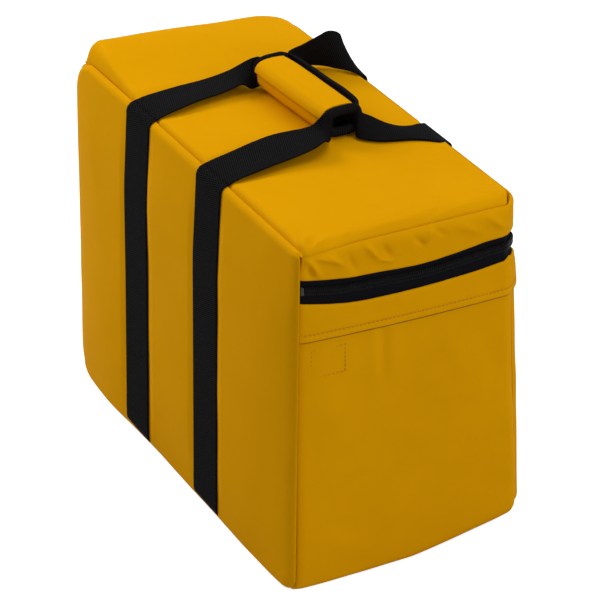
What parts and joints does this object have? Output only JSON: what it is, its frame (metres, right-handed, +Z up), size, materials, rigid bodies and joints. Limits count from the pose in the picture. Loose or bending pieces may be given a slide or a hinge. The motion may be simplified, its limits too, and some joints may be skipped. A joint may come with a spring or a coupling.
{
  "type": "padded kit carry bag",
  "caption": "Box-shaped padded carry bag in yellow coated fabric with a zipped lid, black webbing girth straps and a wrapped carry grip.",
  "frame": {"origin": "bottom centre of the bag's box, on the floor", "axes": "+Z up, +Y along the bag toward the back end, -Y is the zipped front end in the picture, -X is the lid's hinge side"},
  "size_m": [0.2456, 0.483, 0.4097],
  "materials": {
    "coated_fabric": "PVC-coated polyester, semi-matt, faint weave",
    "foam": "closed-cell foam sheet",
    "lining": "plain woven lining",
    "board": "matt polyethylene board",
    "zip_tape": "woven zip tape",
    "zip_coil": "nylon coil",
    "webbing": "ribbed polypropylene webbing",
    "fastener": "hook-and-loop strip",
    "zip_metal": "black painted zinc"
  },
  "bodies": {
    "bag": {"left_side_cover": "coated_fabric", "front_cover": "coated_fabric", "right_side_cover": "coated_fabric", "back_cover": "coated_fabric", "base_cover": "coated_fabric", "base_board": "board", "base_foam": "foam", "left_foam": "foam", "right_foam": "foam", "front_foam": "foam", "back_foam": "foam", "lining_tub": "lining", "hem_band": "coated_fabric", "zip_tape_lower": "zip_tape", "zip_coil_lower": "zip_coil", "zip_stops": "zip_metal", "front_girth_strap": "webbing", "rear_girth_strap": "webbing"},
    "lid": {"top_cover": "coated_fabric", "top_foam": "foam", "lid_lining": "lining", "lid_band": "coated_fabric", "zip_tape_upper": "zip_tape", "zip_coil_upper": "zip_coil"},
    "left_handle": {"left_handle_strap": "webbing", "grip_cover": "coated_fabric", "grip_inner_pad": "foam", "hook_strip": "fastener"},
    "grip_flap": {"flap_cover": "coated_fabric", "flap_pad": "foam", "loop_strip": "fastener"},
    "right_handle": {"right_handle_strap": "webbing"},
    "zip_slider": {"slider_body": "zip_metal"},
    "zip_pull": {"pull_tab": "zip_metal"}
  },
  "joints": [
    {"name": "lid_hinge", "type": "hinge", "parent": "bag", "child": "lid", "pos_m": [-0.112, 0, 0.36], "axis": [0, -1, 0], "range_deg": [0, 110], "deforming": ["left_handle_strap", "right_handle_strap"]},
    {"name": "left_handle_swing", "type": "hinge", "parent": "lid", "child": "left_handle", "pos_m": [-0.112, 0, 0.36], "axis": [0, -1, 0], "range_deg": [0, 120]},
    {"name": "right_handle_swing", "type": "hinge", "parent": "bag", "child": "right_handle", "pos_m": [0.1249, 0, 0.36], "axis": [0, 1, 0], "range_deg": [0, 230]},
    {"name": "flap_hinge", "type": "hinge", "parent": "left_handle", "child": "grip_flap", "pos_m": [0.03299, 0.00658, 0.396], "axis": [-0.0523, 0.9986, 0], "range_deg": [0, 110]},
    {"name": "zip_slide", "type": "slide", "parent": "bag", "child": "zip_slider", "axis": [1, 0, 0], "range_m": [0, 0.178]},
    {"name": "pull_swing", "type": "hinge", "parent": "zip_slider", "child": "zip_pull", "pos_m": [-0.098, 0.2422, 0.312], "axis": [0, 0, 1], "range_deg": [0, 150]}
  ],
  "couplings": [
    {"joint": "right_handle_swing", "follows": "lid_hinge", "ratio": 2.09}
  ]
}
